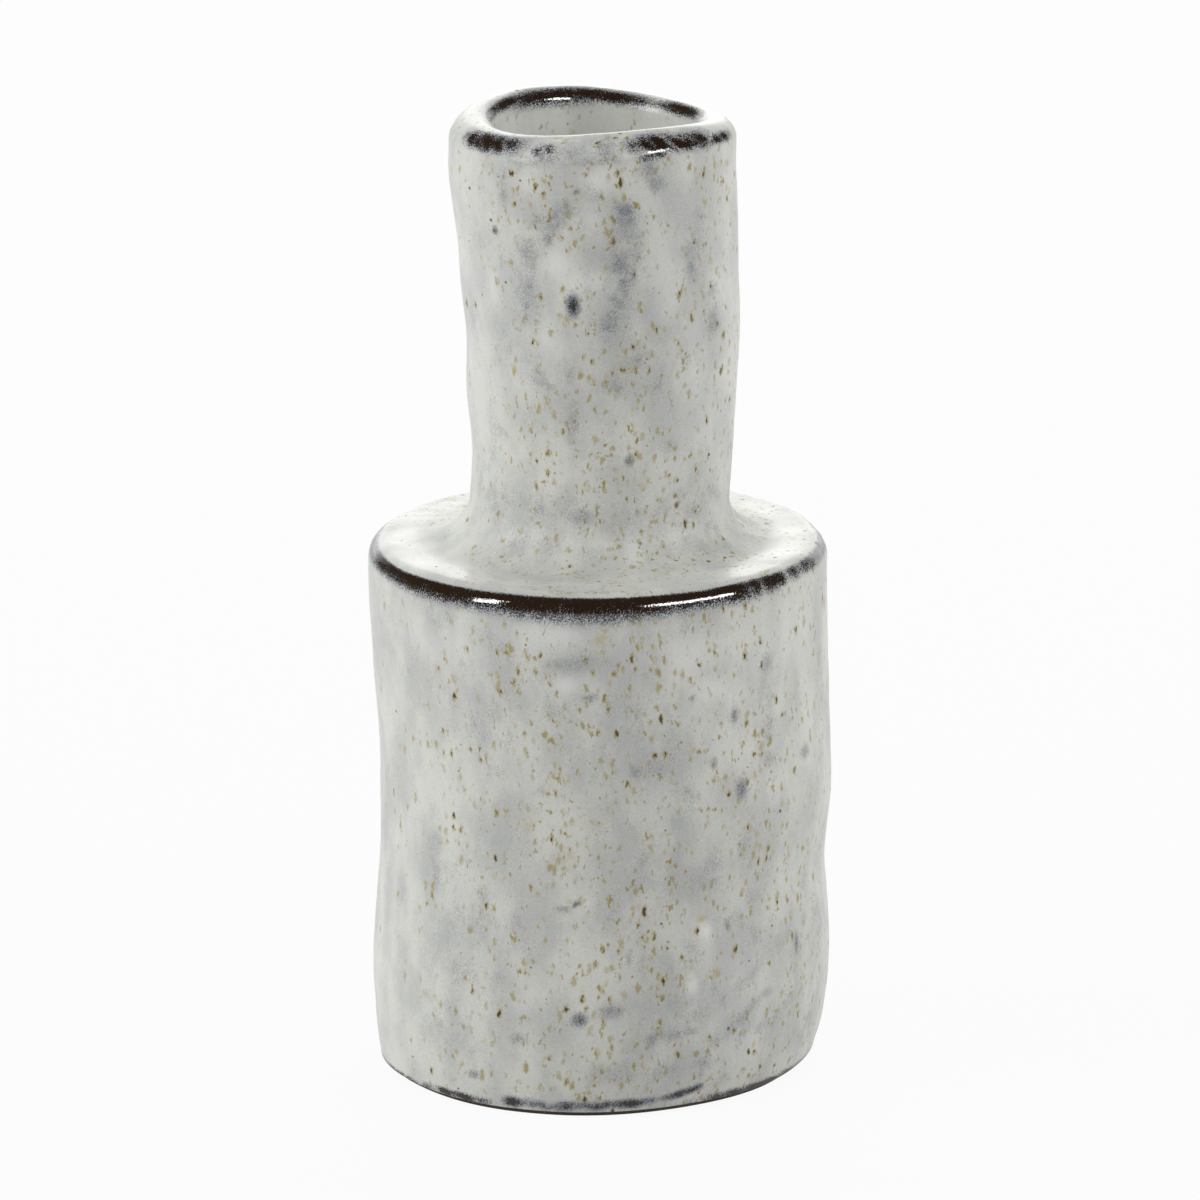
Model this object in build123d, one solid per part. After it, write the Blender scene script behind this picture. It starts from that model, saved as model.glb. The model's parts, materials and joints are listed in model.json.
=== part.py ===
"""Hand-built stoneware bottle vase: clay slabs, walls and coils luted together, then glazed inside and out.

Millimetres, +Z up, origin on the foot at the middle of the body. Every piece is round: its half section is drawn
as radius and height and turned about the body's axis, or about the neck's, which stands a little to one side.
The clay is modelled piece by piece, as it is put together before firing. The two coats of glaze are skins over it.
"""

import os

from build123d import *

# Driving sizes of the finished vase, glaze included
vase_height = 150.0
body_height = 81.0
body_diameter = 70.8
neck_root_diameter = 39.8
neck_top_diameter = 44.0
neck_offset = -0.6

# Walls, glaze included, the neck's at its narrowest
base_thickness = 6.0
body_wall_thickness = 5.0
shoulder_thickness = 5.0
neck_wall_thickness = 4.4
lip_height = 6.0

# Rounded edges, measured on the glaze
foot_round = 2.0
foot_straight = 1.0
shoulder_round = 3.0
root_round = 7.0

# Coils pressed into the joints
seam_coil_leg = 5.0
root_coil_depth = 0.5
root_coil_lap = 1.0

# Glaze coats
glaze_thickness = 0.7
glaze_seat_gap = 0.05
glaze_line_height = 1.6
glaze_dip_depth = 14.0

# Cutting tools reach this far past what they cut
overrun = 2.0

# The body's wall from foot to shoulder: height as a share of the stretch, radius as a share of the body's radius
body_wall_shares = (
    (0.00, 0.952),
    (0.17, 0.988),
    (0.42, 0.965),
    (0.63, 0.978),
    (1.00, 1.000),
)

# The neck's wall from root to lip: height as a share of the stretch, widening as a share of the whole flare
neck_wall_shares = (
    (0.00, 0.00),
    (0.14, 0.05),
    (0.38, 0.43),
    (0.70, 0.78),
    (1.00, 1.00),
)

# The lip's outer and inner rounds as shares of its thickness
lip_round_shares = (0.45, 0.39)

# Sizes that follow from the ones above
body_radius = body_diameter / 2
neck_root_radius = neck_root_diameter / 2
neck_top_radius = neck_top_diameter / 2
bore_radius = min(neck_root_radius, neck_top_radius) - neck_wall_thickness
clay_inset = glaze_thickness + glaze_seat_gap
clay_shoulder_top = body_height - clay_inset
clay_bore_radius = bore_radius + clay_inset
cavity_radius = body_radius - body_wall_thickness
cavity_floor = base_thickness
cavity_ceiling = body_height - shoulder_thickness
lip_seat = vase_height - lip_height
lip_outer_round, lip_inner_round = [(neck_top_radius - bore_radius) * share for share in lip_round_shares]
shoulder_ledge = body_radius - shoulder_round - neck_root_radius - abs(neck_offset)
root_arc = min(root_round, shoulder_ledge)
root_foot_radius = neck_root_radius + root_arc
root_coil_top = body_height + root_arc + root_coil_lap
root_coil_seat_radius = neck_root_radius - clay_inset - root_coil_depth
glaze_dip_floor = vase_height - glaze_dip_depth
reach = body_radius + overrun

upward, inward, outward = (0, 1), (-1, 0), (1, 0)


def band(inner, outer, low, high):
    """A rectangle of the half section, between two radii and two heights."""
    return Pos(inner, low) * Rectangle(outer - inner, high - low, align=(Align.MIN, Align.MIN))


def turned(section):
    """The ring or disc that a half section makes when it is turned about the body's axis."""
    return revolve(Plane.XZ * section, Axis.Z)


def turned_on_neck(section):
    """The ring that a half section makes when it is turned about the neck's axis."""
    return Pos(neck_offset, 0, 0) * turned(section)


def body_section(inset):
    """Half section of the body as a solid, shrunk by inset all round except underneath."""
    top = body_height - inset
    foot_arc = foot_round - inset
    wall_low, wall_high = foot_round + foot_straight, body_height - shoulder_round
    wall = []
    for height_share, radius_share in body_wall_shares:
        height = wall_low + (wall_high - wall_low) * height_share
        wall.append((body_radius * radius_share - inset, height))
    foot_radius = wall[0][0]
    foot_edge = (foot_radius - foot_arc, 0)
    foot_side = (foot_radius, foot_arc)
    shoulder_edge = (body_radius - shoulder_round, top)
    outline = [
        TangentArc(foot_edge, foot_side, tangent=outward),
        Line(foot_side, wall[0]),
        Spline(*wall, tangents=(upward, upward)),
        TangentArc(wall[-1], shoulder_edge, tangent=upward),
        Polyline(shoulder_edge, (0, top), (0, 0), foot_edge),
    ]
    return make_face(outline)


def neck_section(inset):
    """Half section of the neck's wall about its own axis, standing in the shoulder, shrunk by inset all round."""
    crest, floor = vase_height - inset, body_height - overrun
    wall_low, wall_high = body_height + root_arc, vase_height - lip_outer_round
    wall = []
    for height_share, flare_share in neck_wall_shares:
        height = wall_low + (wall_high - wall_low) * height_share
        radius = neck_root_radius + (neck_top_radius - neck_root_radius) * flare_share
        wall.append((radius - inset, height))
    root_foot = (root_foot_radius, body_height - inset)
    crest_outside = (neck_top_radius - lip_outer_round, crest)
    crest_inside = (bore_radius + lip_inner_round, crest)
    bore_top = (bore_radius + inset, vase_height - lip_inner_round)
    outline = [
        TangentArc(root_foot, wall[0], tangent=inward),
        Spline(*wall, tangents=(upward, upward)),
        TangentArc(wall[-1], crest_outside, tangent=upward),
        Line(crest_outside, crest_inside),
        TangentArc(crest_inside, bore_top, tangent=inward),
        Polyline(bore_top, (bore_radius + inset, floor), (root_foot_radius, floor), root_foot),
    ]
    return make_face(outline)


def cavity_section(inset):
    """Half section of the space inside the body, with its corners cut off by the seam coils, shrunk by inset."""
    radius, floor, ceiling = cavity_radius - inset, cavity_floor + inset, cavity_ceiling - inset
    leg = seam_coil_leg - inset * (2 - 2**0.5)
    outline = Polyline(
        (0, floor),
        (radius - leg, floor),
        (radius, floor + leg),
        (radius, ceiling - leg),
        (radius - leg, ceiling),
        (0, ceiling),
        close=True,
    )
    return make_face(outline)


def seam_coil(corner_height, direction):
    """A coil pressed into the corner between the body's wall and a slab, smoothed off at 45 degrees."""
    along_slab = (cavity_radius - seam_coil_leg, corner_height)
    along_wall = (cavity_radius, corner_height + direction * seam_coil_leg)
    outline = Polyline((cavity_radius, corner_height), along_slab, along_wall, close=True)
    return turned(make_face(outline))


def neck_rod(radius, low, high):
    """An upright cylinder on the neck's axis, between two heights."""
    base = (Align.CENTER, Align.CENTER, Align.MIN)
    return Pos(neck_offset, 0, low) * Cylinder(radius, high - low, align=base)


def clay_pieces():
    """The clay, cut at its luted joints into the pieces that it is put together from."""
    body, neck = body_section(clay_inset), neck_section(clay_inset)
    wall_band = band(cavity_radius, reach, cavity_floor, cavity_ceiling)
    coil_band = band(root_coil_seat_radius, reach, clay_shoulder_top, root_coil_top)
    shoulder = turned(body & band(0, reach, cavity_ceiling, body_height))
    return {
        "base_slab": turned(body & band(0, reach, 0, cavity_floor)),
        "body_wall": turned(body & wall_band),
        "shoulder_slab": shoulder - neck_rod(clay_bore_radius, cavity_ceiling - overrun, body_height),
        "neck_wall": turned_on_neck((neck & band(0, reach, clay_shoulder_top, lip_seat)) - coil_band),
        "neck_root_coil": turned_on_neck(neck & coil_band),
        "lip_roll": turned_on_neck(neck & band(0, reach, lip_seat, vase_height)),
        "base_seam_coil": seam_coil(cavity_floor, 1),
        "shoulder_seam_coil": seam_coil(cavity_ceiling, -1),
    }


def outer_glaze():
    """The dipped coat: from the wiped foot up the outside, over the lip and a little way down the bore."""
    body_coat = body_section(0) - body_section(glaze_thickness)
    body_coat -= band(0, reach, -overrun, glaze_line_height)
    neck_coat = neck_section(0) - neck_section(glaze_thickness)
    neck_coat -= band(0, clay_bore_radius, 0, glaze_dip_floor)
    body_skin = turned(body_coat) - neck_rod(root_foot_radius, cavity_ceiling, vase_height)
    return body_skin + turned_on_neck(neck_coat)


def liner_glaze():
    """The poured coat: floor, wall and ceiling of the body, and the bore up to the dipped coat."""
    coat = turned(cavity_section(0) - cavity_section(glaze_thickness))
    coat += neck_rod(clay_bore_radius, cavity_ceiling - glaze_thickness, glaze_dip_floor)
    return coat - neck_rod(bore_radius, cavity_ceiling - overrun, vase_height)


def main():
    os.makedirs("parts", exist_ok=True)
    pieces = clay_pieces()
    pieces["outer_glaze"] = outer_glaze()
    pieces["liner_glaze"] = liner_glaze()
    for name, piece in pieces.items():
        export_step(piece, f"parts/{name}.step")
        print(name, len(piece.solids()), "solid", round(piece.volume), "mm3")


main()
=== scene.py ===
import json
import math

import bpy
import numpy as np
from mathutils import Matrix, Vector


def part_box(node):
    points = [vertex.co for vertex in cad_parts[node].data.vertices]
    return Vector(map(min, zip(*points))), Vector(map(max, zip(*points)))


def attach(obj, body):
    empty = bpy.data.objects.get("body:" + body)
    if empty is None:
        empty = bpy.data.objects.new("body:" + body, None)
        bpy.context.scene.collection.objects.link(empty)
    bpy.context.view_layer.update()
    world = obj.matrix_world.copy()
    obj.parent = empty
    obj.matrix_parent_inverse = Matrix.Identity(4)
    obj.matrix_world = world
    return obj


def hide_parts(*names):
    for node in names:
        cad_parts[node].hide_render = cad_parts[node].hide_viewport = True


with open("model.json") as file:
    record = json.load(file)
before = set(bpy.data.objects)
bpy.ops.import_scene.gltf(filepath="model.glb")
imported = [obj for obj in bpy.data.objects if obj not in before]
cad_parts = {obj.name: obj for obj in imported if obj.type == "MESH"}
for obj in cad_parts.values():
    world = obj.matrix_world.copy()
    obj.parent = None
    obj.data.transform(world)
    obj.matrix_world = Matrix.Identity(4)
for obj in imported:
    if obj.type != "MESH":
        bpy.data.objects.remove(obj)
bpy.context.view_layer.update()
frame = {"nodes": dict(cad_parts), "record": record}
mm = 0.001  # shapes are worked out in millimetres and put into the meshes in metres
tiny = 1e-6  # millimetres: points closer than this count as one
print("frame loaded:", len(frame["nodes"]), "pieces of clay and glaze")


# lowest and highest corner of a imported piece, in mm
def corners(node):
    low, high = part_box(node)
    return np.array(low) / mm, np.array(high) / mm


glazeHigh = corners("outer_glaze")[1]
slabLow, slabHigh = corners("shoulder_slab")
seamLow, seamHigh = corners("base_seam_coil")
boreMount = next(mount for mount in frame["record"]["mounts"] if mount["name"] == "neck_bore")

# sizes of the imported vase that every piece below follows
vase = {
    "height": glazeHigh[2],
    "radius": glazeHigh[0],
    "clayInset": glazeHigh[0] - slabHigh[0],
    "shoulder": slabHigh[2] + glazeHigh[0] - slabHigh[0],
    "cavityFloor": seamLow[2],
    "cavityCeiling": slabLow[2],
    "cavityRadius": seamHigh[0],
    "seamLeg": seamHigh[2] - seamLow[2],
    "lipSeat": corners("lip_roll")[0][2],
    "coilTop": corners("neck_root_coil")[1][2],
    "dipFloor": corners("liner_glaze")[1][2],
    "bore": boreMount["dims"]["r_mm"],
}

# walls as the hands left them: heights are shares of the vase's height, radii and drifts are shares of
# the body's radius, and the rounded edges are in mm
walls = {
    "bodyShares": (
        (0, 0.932), (0.02, 0.946), (0.04, 0.96), (0.067, 0.972), (0.1, 0.983), (0.14, 0.982),
        (0.18, 0.972), (0.22, 0.96), (0.253, 0.964), (0.287, 0.971), (0.333, 0.972), (0.38, 0.974),
        (0.433, 0.979), (0.487, 0.985), (0.54, 0.986),
    ),
    "neckShares": (
        (0.587, 0.555), (0.627, 0.555), (0.66, 0.562), (0.693, 0.573), (0.74, 0.581), (0.78, 0.587),
        (0.82, 0.591), (0.86, 0.597), (0.9, 0.606), (0.933, 0.611), (1, 0.611),
    ),
    "driftShares": (
        (0, -0.012), (0.04, -0.003), (0.1, 0.006), (0.18, 0.012), (0.22, 0.01), (0.253, 0.018),
        (0.287, 0.026), (0.333, 0.025), (0.38, 0.015), (0.433, 0.004), (0.54, -0.009), (0.587, 0.001),
        (0.65, 0.012), (0.7, 0.01), (0.78, 0.012), (0.82, 0), (0.86, -0.007), (0.9, -0.019),
        (0.935, -0.03), (1, -0.03),
    ),
    "footRound": 1.3,
    "shoulderRound": 3.0,
    "rootRound": 7.0,
    "lipOuterRound": 2.9,
    "lipInnerRound": 2.5,
}


# smooth curve through given points: a cubic between neighbours, with slopes taken across each point
def throughPoints(table, at):
    places, values = np.array(table, float).T
    slopes = np.gradient(values, places)
    k = np.clip(np.searchsorted(places, at) - 1, 0, len(places) - 2)
    step = places[k + 1] - places[k]
    t = np.clip((at - places[k]) / step, 0, 1)
    leaving = (1 + 2 * t) * (1 - t) ** 2 * values[k] + t * (1 - t) ** 2 * step * slopes[k]
    arriving = t**2 * (3 - 2 * t) * values[k + 1] + t**2 * (t - 1) * step * slopes[k + 1]
    return leaving + arriving


# as throughPoints, for a table that runs once round the vase in degrees
def roundTheVase(table, around):
    places, values = np.array(table, float).T
    places = np.concatenate([places - 360, places, places + 360])
    values = np.tile(values, 3)
    return throughPoints(np.stack([places, values], axis=1), np.degrees(around))


# 0 before low, 1 after high, and an even S between them
def easeIn(low, high, at):
    t = np.clip((at - low) / (high - low), 0, 1)
    return t * t * (3 - 2 * t)


# bell curve: 1 in the middle, about a third one width away; a higher power makes it flatter on top
def bell(at, middle, width, power=2):
    return np.exp(-((np.abs(at - middle) / width) ** power))


# the shorter way round from one angle to another, in degrees
def turnFrom(around, middle):
    return (np.degrees(around) - middle + 180) % 360 - 180


# hand-building moves every piece alike, so that the glaze keeps its thickness over the clay; angles are
# degrees from the front, other sizes mm
hands = {
    # lobes round the walls: size, how many, turn, and twist in radians for each millimetre of height
    "lobes": ((0.16, 2, 90.0, 0.004), (0.14, 3, 180.0, -0.004), (0.06, 5, 0.0, 0.010)),
    "facet": {"depth": 0.60, "around": 22.0, "width": 17.0, "reach": 7.0},
    "shoulder": {"rise": 1.6, "tilt": 0.8, "lean": 0.15},
    "rim": {"twist": 0.70, "saddle": 0.35, "lean": -0.20, "nod": 0.25, "drop": 1.6, "from": 128.0},
    # the mouth moves sideways inside the lip, and the lip slumps outside it, by shares of the lip's width
    "mouth": {"shift": 0.6, "fadeShares": (0.2, 0.9)},
    "slumpShares": (0.35, 1.35),
    "lipSlump": (
        (-180, 0.3), (-135, 0.8), (-90, 1.5), (-45, 1.7), (0, 1.7), (45, 1.5), (90, 0.6), (135, 0.5),
    ),
    "footLift": (
        (-180, 0.3), (-130, 0.4), (-90, 1.0), (-60, 0.8), (-35, 0.1), (0, 0.1), (25, 0.7), (50, 1.3),
        (75, 2.6), (105, 2.2), (145, 0.6),
    ),
    "footBulge": {"push": 0.35, "around": -5.0, "width": 50.0, "reach": 9.0},
    "footReach": 9.0,
}


# a dent or a bulge: a bell round the vase times a bell up the wall
def pressedAt(mark, around, z, height):
    return bell(turnFrom(around, mark["around"]), 0, mark["width"]) * bell(z, height, mark["reach"])


# presses points as hands do: each height drifts sideways, a few lobes run round the walls, the shoulder
# rises and tips up at the back, the rim twists twice a turn, the lip slumps and the foot lifts on one side
def press(points):
    x, y, z = np.moveaxis(points, -1, 0)
    around, away = np.arctan2(x, -y), np.hypot(x, y)
    lipWidth = vase["radius"] * walls["neckShares"][-1][1] - vase["bore"]
    acrossLip = (away - vase["bore"]) / lipWidth
    facet, bulge, mouth = hands["facet"], hands["footBulge"], hands["mouth"]
    shoulder, rim = hands["shoulder"], hands["rim"]

    swell = 0
    for size, lobes, turn, twist in hands["lobes"]:
        swell = swell + size * np.cos(lobes * around + math.radians(turn) + twist * z)
    swell = swell - facet["depth"] * pressedAt(facet, around, z, vase["shoulder"])
    swell = swell + bulge["push"] * pressedAt(bulge, around, z, 0)
    swell = swell * easeIn(0, vase["bore"], away)

    drift = vase["radius"] * throughPoints(walls["driftShares"], z / vase["height"])
    inMouth = easeIn(rim["from"], vase["lipSeat"], z) * (1 - easeIn(*mouth["fadeShares"], acrossLip))
    drift = drift + mouth["shift"] * inMouth

    onShoulder = bell(z, vase["shoulder"], vase["seamLeg"] + walls["rootRound"])
    rise = (shoulder["rise"] + (shoulder["tilt"] * y + shoulder["lean"] * x) / vase["radius"]) * onShoulder
    wave = rim["twist"] * np.sin(2 * around) + rim["saddle"] * np.cos(2 * around)
    wave = wave + rim["lean"] * np.sin(around) + rim["nod"] * np.cos(around)
    rise = rise + (wave - rim["drop"]) * easeIn(rim["from"], vase["height"] - walls["lipOuterRound"], z)
    slump = roundTheVase(hands["lipSlump"], around) * easeIn(*hands["slumpShares"], acrossLip)
    rise = rise - slump * easeIn(vase["lipSeat"], vase["height"], z)
    lift = np.maximum(roundTheVase(hands["footLift"], around), 0)
    lift = lift * np.clip(1 - z / hands["footReach"], 0, 1) ** 2
    rise = rise + lift * easeIn(vase["cavityRadius"] - vase["seamLeg"], vase["radius"], away)

    scale = 1 + swell / np.maximum(away, tiny)
    return np.stack([x * scale + drift, y * scale, z + rise], axis=-1)


# rows of points along each stretch of the half section, at a fineness of 1
sectionRows = {
    "foot": 14,
    "bodyWall": 112,
    "shoulderEdge": 18,
    "shoulderFlat": 10,
    "root": 16,
    "neckWall": 76,
    "outerLip": 16,
    "crest": 3,
    "innerLip": 14,
    "bore": 14,
}
leastRows = 3
evenShare = 0.4  # this share of a wall's rows is spread evenly, the rest crowds towards its ends


# points of a circle: centre plus radius times cosine and sine of evenly spaced angles
def arc(centre, radius, fromAngle, toAngle, count):
    turn = np.radians(np.linspace(fromAngle, toAngle, count))
    return np.stack([centre[0] + radius * np.cos(turn), centre[1] + radius * np.sin(turn)], axis=1)


# radius of the body's or the neck's wall at a height
def wallRadius(table, height):
    return vase["radius"] * throughPoints(walls[table], height / vase["height"])


# a wall from one height to another, with its rows closer at both ends: the given radius, less the inset
def wall(table, low, high, inset, count):
    share = np.linspace(0, 1, count)
    share = evenShare * share + (1 - evenShare) * (1 - np.cos(math.pi * share)) / 2
    height = low + (high - low) * share
    return np.stack([wallRadius(table, height) - inset, height], axis=1)


# straight run between two points of a section
def run(start, end, count):
    share = np.linspace(0, 1, count)[:, None]
    return np.array(start) * (1 - share) + np.array(end) * share


# the stretches of the half section, foot to bore, each as radius and height: convex edges are arcs that
# shrink by the inset, the hollow root of the neck is an arc that grows by it, the walls move in by it
def stretches(inset, fine):
    rows = {name: max(leastRows, int(count * fine)) for name, count in sectionRows.items()}
    footRound, edgeRound, rootRound = walls["footRound"], walls["shoulderRound"], walls["rootRound"]
    outerRound, innerRound = walls["lipOuterRound"], walls["lipInnerRound"]
    edgeHeight, rootHeight = vase["shoulder"] - edgeRound, vase["shoulder"] + rootRound
    lipHeight, mouthHeight = vase["height"] - outerRound, vase["height"] - innerRound
    footCentre = wallRadius("bodyShares", footRound) - footRound
    edgeCentre = wallRadius("bodyShares", edgeHeight) - edgeRound
    rootCentre = wallRadius("neckShares", rootHeight) + rootRound
    lipCentre = wallRadius("neckShares", lipHeight) - outerRound
    mouthCentre = vase["bore"] + innerRound
    flat, crest, bore = vase["shoulder"] - inset, vase["height"] - inset, vase["bore"] + inset
    return {
        "foot": arc((footCentre, footRound), footRound - inset, -90, 0, rows["foot"]),
        "bodyWall": wall("bodyShares", footRound, edgeHeight, inset, rows["bodyWall"]),
        "shoulderEdge": arc((edgeCentre, edgeHeight), edgeRound - inset, 0, 90, rows["shoulderEdge"]),
        "shoulderFlat": run((edgeCentre, flat), (rootCentre, flat), rows["shoulderFlat"]),
        "root": arc((rootCentre, rootHeight), rootRound + inset, 270, 180, rows["root"]),
        "neckWall": wall("neckShares", rootHeight, lipHeight, inset, rows["neckWall"]),
        "outerLip": arc((lipCentre, lipHeight), outerRound - inset, 0, 90, rows["outerLip"]),
        "crest": run((lipCentre, crest), (mouthCentre, crest), rows["crest"]),
        "innerLip": arc((mouthCentre, mouthHeight), innerRound - inset, 90, 180, rows["innerLip"]),
        "bore": run((bore, mouthHeight), (bore, vase["dipFloor"]), rows["bore"]),
    }


# distances between neighbouring points of a section
def steps(points):
    return np.linalg.norm(np.diff(points, axis=0), axis=1)


# joins stretches end to end and drops the points that two of them share
def joined(*parts):
    points = np.concatenate(parts)
    return points[np.concatenate([[True], steps(points) > tiny])]


# a run through several places, with the same count of points on each leg
def through(places, count):
    return joined(*[run(start, end, count) for start, end in zip(places, places[1:])])


# keeps the part of a section between two heights
def between(points, low, high):
    return points[(points[:, 1] >= low - tiny) & (points[:, 1] <= high + tiny)]


# distance of each point from the first, measured along the section
def wayAlong(points):
    return np.concatenate([[0], np.cumsum(steps(points))])


# angles of a piece's columns, counted from the front, where the seam lies behind
def turnAngles(turns):
    return np.linspace(-math.pi, math.pi, turns, endpoint=False)


sharpTurn = 35  # degrees: edges that turn by more are shaded as corners


# a half section carried round the axis: radius r and height z at turn t lie at (r sin t, -r cos t, z), then
# the hands press it and its relief is added; a section from axis to axis ends in two poles, any other is a
# closed ring
def turnedPiece(name, section, turns, relief=0):
    around = turnAngles(turns)
    onAxis = section[0, 0] == 0 and section[-1, 0] == 0
    rings = section[1:-1] if onAxis else section
    rows, radius, height = len(rings), rings[:, :1], rings[:, 1:]
    grid = np.stack([radius * np.sin(around), -radius * np.cos(around), height + 0 * around], axis=-1)
    points = (press(grid) + relief).reshape(-1, 3)
    along = wayAlong(rings)
    flow = np.dstack([grid[..., :2], along[:, None] + 0 * around]).reshape(-1, 3)

    row, column = np.arange(rows - 1 if onAxis else rows)[:, None], np.arange(turns)
    nextRow, nextColumn = (row + 1) % rows, (column + 1) % turns
    square = [(row, column), (row, nextColumn), (nextRow, nextColumn), (nextRow, column)]
    quads = np.stack([up * turns + side for up, side in square], axis=-1).reshape(-1, 4)
    fans = np.zeros((0, 3), int)
    if onAxis:
        ends = np.array([[0, 0, section[0, 1]], [0, 0, section[-1, 1]]], float)
        points = np.concatenate([points, press(ends)])
        flow = np.concatenate([flow, [[0, 0, -rings[0, 0]], [0, 0, along[-1] + rings[-1, 0]]]])
        pole, last = np.full(turns, rows * turns), (rows - 1) * turns
        fans = np.stack([pole, nextColumn, column], axis=1)
        fans = np.concatenate([fans, np.stack([pole + 1, last + column, last + nextColumn], axis=1)])

    triangles = np.concatenate([quads[:, [0, 1, 2]], quads[:, [0, 2, 3]], fans])
    a, b, c = points[triangles[:, 0]], points[triangles[:, 1]], points[triangles[:, 2]]
    if np.einsum("ij,ij->i", a, np.cross(b, c)).sum() < 0:  # turn the faces outwards
        quads, fans = quads[:, ::-1], fans[:, ::-1]
    mesh = bpy.data.meshes.new(name)
    mesh.from_pydata((points * mm).tolist(), [], quads.tolist() + fans.tolist())
    mesh.polygons.foreach_set("use_smooth", np.ones(len(mesh.polygons), bool))
    mesh.set_sharp_from_angle(angle=math.radians(sharpTurn))
    attribute = mesh.attributes.new("flow", "FLOAT_VECTOR", "POINT")
    attribute.data.foreach_set("vector", flow.ravel().astype(np.float32))
    return addObject(name, mesh)


# a new object in the scene
def addObject(name, data):
    made = bpy.data.objects.new(name, data)
    bpy.context.scene.collection.objects.link(made)
    return made


# places one finished piece: its material and the body it rides on, and hides the imported node it stands for
def settle(piece, node, material):
    piece.data.materials.append(material)
    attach(piece, "root")
    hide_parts(node)
    print("made", piece.name, "with", len(piece.data.polygons), "faces")


# one shader node: settings go to its properties, and sockets to its inputs as values or links; gives its
# outputs
def addNode(tree, kind, sockets=None, **settings):
    made = tree.nodes.new("ShaderNode" + kind)
    for key, value in settings.items():
        setattr(made, key, value)
    for key, value in (sockets or {}).items():
        if isinstance(value, bpy.types.NodeSocket):
            tree.links.new(value, made.inputs[key])
        else:
            made.inputs[key].default_value = value
    return made.outputs


# arithmetic on two values
def sums(tree, operation, first, second):
    return addNode(tree, "Math", {0: first, 1: second}, operation=operation)[0]


# one value times another
def times(tree, first, second):
    return sums(tree, "MULTIPLY", first, second)


# several values added up
def total(tree, first, *others):
    for value in others:
        first = sums(tree, "ADD", first, value)
    return first


# 0 below low, 1 above high, an even S between
def eased(tree, value, low, high):
    sockets = {"Value": value, "From Min": low, "From Max": high}
    return addNode(tree, "MapRange", sockets, interpolation_type="SMOOTHSTEP")[0]


# a value carried evenly from one range, as a rule 0 to 1, to another, and held at its ends
def ranged(tree, value, toLow, toHigh, fromLow=0.0, fromHigh=1.0):
    sockets = {"Value": value, "From Min": fromLow, "From Max": fromHigh}
    sockets.update({"To Min": toLow, "To Max": toHigh})
    return addNode(tree, "MapRange", sockets)[0]


# one colour over another by a mask
def layered(tree, mask, under, over):
    return addNode(tree, "Mix", {0: mask, 6: under, 7: over}, data_type="RGBA")[2]


# colours that cover one another as a value rises, each from its low to its high and up to its strength;
# gives the colour and the last one's mask
def steeped(tree, value, colour, look, steps):
    for name, low, high, strength in steps:
        mask = eased(tree, value, low, high)
        colour = layered(tree, times(tree, mask, strength), colour, look[name])
    return colour, mask


# a mark that is painted on the piece's points
def painted(tree, name):
    return addNode(tree, "Attribute", attribute_name=name)["Fac"]


# a piece's own flow coordinates in mm: across the vase and, last, along the way the glaze ran
def flowing(tree, stretch=(1, 1, 1), shift=(0, 0, 0)):
    flow = addNode(tree, "Attribute", attribute_name="flow")["Vector"]
    scale = tuple(1 / part for part in stretch)
    sockets = {"Vector": flow, "Location": shift, "Scale": scale}
    return addNode(tree, "Mapping", sockets)[0]


noiseMiddle = 0.5  # noise lies evenly round this value
cloudRoughness = 0.55
speckDetail = 2.0
speckSizeShares = (0.4, 1.7)  # smallest and largest speck, as shares of the radius


# cloudy noise whose lumps are about size mm across
def clouds(tree, vector, look):
    sockets = {"Vector": vector, "Scale": 1 / look["size"], "Detail": look["detail"]}
    sockets["Roughness"] = cloudRoughness
    return addNode(tree, "TexNoise", sockets)["Fac"]


# clouds as a mask: clear where the noise is below their range, full where it is above
def cloudMask(tree, vector, look):
    return eased(tree, clouds(tree, vector, look), *look["range"])


# arithmetic on vectors
def vectorSums(tree, operation, sockets):
    return addNode(tree, "VectorMath", sockets, operation=operation)[0]


# specks: dots round the nearest of many scattered points, for a share of the points, each of its own size;
# gives their mask, a wider and fainter mask round them, a mask of their hearts, and a second chance value
def specks(tree, look, crowd):
    cell = look["cell"]
    vector = flowing(tree, (cell, cell, cell * look["stretch"]), look["shift"])
    ragged = {"Vector": vector, "Scale": look["ragged"], "Detail": speckDetail}
    pull = addNode(tree, "TexNoise", ragged)["Color"]
    pull = vectorSums(tree, "SUBTRACT", {0: pull, 1: (noiseMiddle, noiseMiddle, noiseMiddle)})
    pull = vectorSums(tree, "SCALE", {0: pull, "Scale": look["pull"]})
    moved = vectorSums(tree, "ADD", {0: vector, 1: pull})
    cells = addNode(tree, "TexVoronoi", {"Vector": moved, "Scale": 1.0})
    chance = addNode(tree, "SeparateColor", {"Color": cells["Color"]})
    kept = sums(tree, "LESS_THAN", chance[0], times(tree, crowd, look["share"]))
    size = ranged(tree, times(tree, chance[1], chance[1]), *speckSizeShares)
    closeness = sums(tree, "SUBTRACT", times(tree, size, look["radius"]), cells["Distance"])
    mask = times(tree, kept, eased(tree, closeness, -look["soft"], look["soft"]))
    halo = times(tree, kept, eased(tree, closeness, -look["halo"], 0.0))
    heart = times(tree, kept, eased(tree, closeness, 0.0, 2 * look["soft"]))
    return mask, halo, heart, chance[2]


# a new material with its shader and tree
def freshMaterial(name, roughness):
    material = bpy.data.materials.new(name)
    material.use_nodes = True
    tree = material.node_tree
    shader = tree.nodes["Principled BSDF"]
    shader.inputs["Roughness"].default_value = roughness
    return material, tree, shader


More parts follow.
